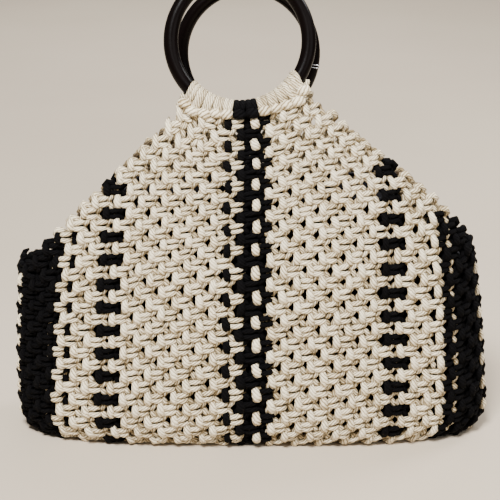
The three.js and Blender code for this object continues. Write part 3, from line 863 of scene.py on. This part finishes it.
def selectOnly(*pieces):
    bpy.ops.object.select_all(action="DESELECT")
    for piece in pieces:
        piece.select_set(True)
    bpy.context.view_layer.objects.active = pieces[0]


def applyPlace(piece):
    selectOnly(piece)
    bpy.ops.object.transform_apply(location=True, rotation=True, scale=True)
    bpy.ops.object.shade_smooth()


def ringPiece(name):
    handle = handles[name]
    centre = (np.array(handle["centre"]) + bagShift) * millimetre
    bpy.ops.object.select_all(action="DESELECT")
    bpy.ops.mesh.primitive_torus_add(
        major_radius=ring["radius"] * millimetre, minor_radius=ring["tube"] * millimetre,
        major_segments=ring["segments"][0], minor_segments=ring["segments"][1],
        location=tuple(centre), rotation=(math.radians(90 - handle["lean"]), 0, 0))
    piece = bpy.context.object
    piece.name = piece.data.name = f"{name}_lacquer_ring"
    applyPlace(piece)
    piece.data.materials.append(lacquer)
    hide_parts(f"{name}_ring")
    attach(piece, "root")


# angle: degrees round the ring from straight down; the rest in millimetres
seam = {"angle": 80, "rims": (-1.15, 1.15), "over": 0.2, "thickness": 0.5, "segments": (40, 10)}


def seamBands():
    # Two thin metal rims where the ring's ends meet.
    handle = handles["back"]
    made = []
    for offset in seam["rims"]:
        along = math.radians(seam["angle"]) * ring["radius"] + offset
        spot = (onHandle(handle, along, 0, 0)[0] + bagShift) * millimetre
        bpy.ops.object.select_all(action="DESELECT")
        bpy.ops.mesh.primitive_torus_add(
            major_radius=(ring["tube"] + seam["over"]) * millimetre, minor_radius=seam["thickness"] * millimetre,
            major_segments=seam["segments"][0], minor_segments=seam["segments"][1], location=tuple(spot))
        piece = bpy.context.object
        piece.rotation_mode = "QUATERNION"
        piece.rotation_quaternion = Vector(alongRing(handle, along)).to_track_quat("Z", "Y")
        applyPlace(piece)
        made.append(piece)
    selectOnly(*made)
    bpy.ops.object.join()
    piece = made[0]
    bpy.context.scene.cursor.location = (0, 0, 0)
    bpy.ops.object.origin_set(type="ORIGIN_CURSOR")
    piece.name = piece.data.name = "back_ring_rims"
    piece.data.materials.append(steel)
    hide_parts("back_ring_band")
    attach(piece, "root")


for handleName in ("front", "back"):
    ringPiece(handleName)
    wrapHandle(handleName)
seamBands()
print("handles made")


# A pouch that follows the wall from the inside, in millimetres apart from threadStep, which is in metres.
# foot: where its wall begins, over a bottom that closes in steps. hem: how far the turned rim stands off.
lining = {
    "inset": 11.2, "top": 222.0, "belowEdge": 9.0, "cloth": 0.9, "foot": 14, "bottom": 11.5,
    "bottomInsets": (16.0, 26.0, 40.0, 52.0), "around": 264, "upwards": 40, "hem": 1.2, "hemShares": (1.0, 0.995),
    "ripple": 0.7, "waves": (3.1, 7.3), "secondWave": 0.6, "waveTwist": 30, "rippleOver": (60, 120),
    "straightBelow": 40, "threadStep": (0.0034, 0.0053),
    "edgeRows": {"front": -1.6, "back": -0.6, "last": 8.0}}


def edgeLevel(turn):
    # how high the knotted edge stands at a turn, from the row where each column ends
    column, onFront = columnOf(turn)
    edge = lining["edgeRows"]
    row = np.abs(column) + np.where(onFront, edge["front"], edge["back"])
    return levelOf(turn, np.clip(row, firstRowOf(onFront), edge["last"]))


def liningLoops():
    turns = np.linspace(-quarter, 3 * quarter, lining["around"] + 1)[:-1]
    everywhere = np.ones(len(turns))
    top = np.minimum(lining["top"], edgeLevel(turns) - lining["belowEdge"])
    levels = [lining["bottom"] * everywhere for _ in lining["bottomInsets"]]
    insets = list(reversed(lining["bottomInsets"]))
    for share in np.linspace(0, 1, lining["upwards"]):
        levels.append(lining["foot"] + (top - lining["foot"]) * share)
        insets.append(lining["inset"])
    for share in lining["hemShares"]:
        levels.append(lining["foot"] + (top - lining["foot"]) * share)
        insets.append(lining["inset"] + lining["hem"])
    loops = []
    for level, inset in zip(levels, insets):
        points = onGrid(surfacePoints, turns, level)
        normals = onGrid(surfaceNormals, turns, np.maximum(level, lining["straightBelow"]))
        flat = normals * np.array([1, 1, 0])
        flat /= np.linalg.norm(flat, axis=1, keepdims=True)
        wave = (np.sin(turns * lining["waves"][0])
                + lining["secondWave"] * np.sin(turns * lining["waves"][1] + level / lining["waveTwist"]))
        inward = inset + lining["ripple"] * wave * rise(level, *lining["rippleOver"])
        moved = points - flat * inward[:, None]
        moved[:, 2] = level
        loops.append(moved)
    return np.array(loops) + bagShift


def liningPiece():
    loops = liningLoops()
    loopCount, count = loops.shape[:2]
    acrossStep, upStep = lining["threadStep"]
    corners, uvs = [], []
    for r in range(loopCount - 1):
        for i in range(count):
            j = (i + 1) % count
            corners += [r * count + i, r * count + j, (r + 1) * count + j, (r + 1) * count + i]
            a, b = i * acrossStep, (i + 1) * acrossStep
            c, d = r * upStep, (r + 1) * upStep
            uvs += [a, c, b, c, b, d, a, d]
    # one face closes the bottom
    bottom = list(range(count))[::-1]
    sizes = np.array([4] * (len(corners) // 4) + [count])
    piece = addMesh("lining_pouch", loops.reshape(-1, 3), np.array(corners + bottom), sizes, None, None,
                    liningCloth)
    uvLayer = piece.data.uv_layers.new(name="threads")
    flatBottom = loops[0][bottom][:, :2] * millimetre
    uvLayer.data.foreach_set("uv", np.concatenate([np.array(uvs), flatBottom.ravel()]).astype(np.float32))
    selectOnly(piece)
    solidify = piece.modifiers.new("clothThickness", "SOLIDIFY")
    solidify.thickness = lining["cloth"] * millimetre
    solidify.offset = 0
    bpy.ops.object.modifier_apply(modifier=solidify.name)
    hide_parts("lining")
    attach(piece, "root")


liningPiece()
print("lining made")


stageLook = {"world": "#ffffff", "worldStrength": 0.22, "floorSize": 14, "floorDark": "#b4a591",
             "floorLight": "#bbad99", "floorCloud": (3.0, 2.0), "floorRoughness": 0.95}
# name, place, target, size and power
lights = [
    ("keyLight", (-0.3, -1.1, 1.7), (0, 0, 0.15), 0.5, 112),
    ("rimLight", (1.1, 0.7, 1.3), (0.1, 0, 0.2), 0.6, 24),
    ("fillLight", (1.1, -1.0, 1.0), (0, 0, 0.15), 1.2, 10),
    ("backgroundLight", (0, 2.3, 1.7), (0, 2.6, 0), 2.2, 66)]


def floorPiece():
    bpy.ops.object.select_all(action="DESELECT")
    bpy.ops.mesh.primitive_plane_add(size=stageLook["floorSize"], location=(0, 0, 0))
    piece = bpy.context.object
    piece.name = "floor"
    material, tree, shader = newMaterial("paleFloor")
    cloud = addNoise(tree, *stageLook["floorCloud"])
    colourBetween(tree, shader, cloud, stageLook["floorDark"], stageLook["floorLight"])
    setInputs(shader, {"Roughness": stageLook["floorRoughness"]})
    piece.data.materials.append(material)


def areaLight(name, place, target, size, power):
    data = bpy.data.lights.new(name, "AREA")
    data.shape = "SQUARE"
    data.size = size
    data.energy = power
    light = bpy.data.objects.new(name, data)
    light.location = place
    light.rotation_mode = "QUATERNION"
    light.rotation_quaternion = (Vector(target) - Vector(place)).to_track_quat("-Z", "Y")
    bpy.context.scene.collection.objects.link(light)


def studioLight():
    world = bpy.data.worlds.new("studio")
    world.use_nodes = True
    setInputs(world.node_tree.nodes["Background"], {
        "Color": linearColour(stageLook["world"]), "Strength": stageLook["worldStrength"]})
    bpy.context.scene.world = world
    for light in lights:
        areaLight(*light)


floorPiece()
studioLight()
print("stage set")
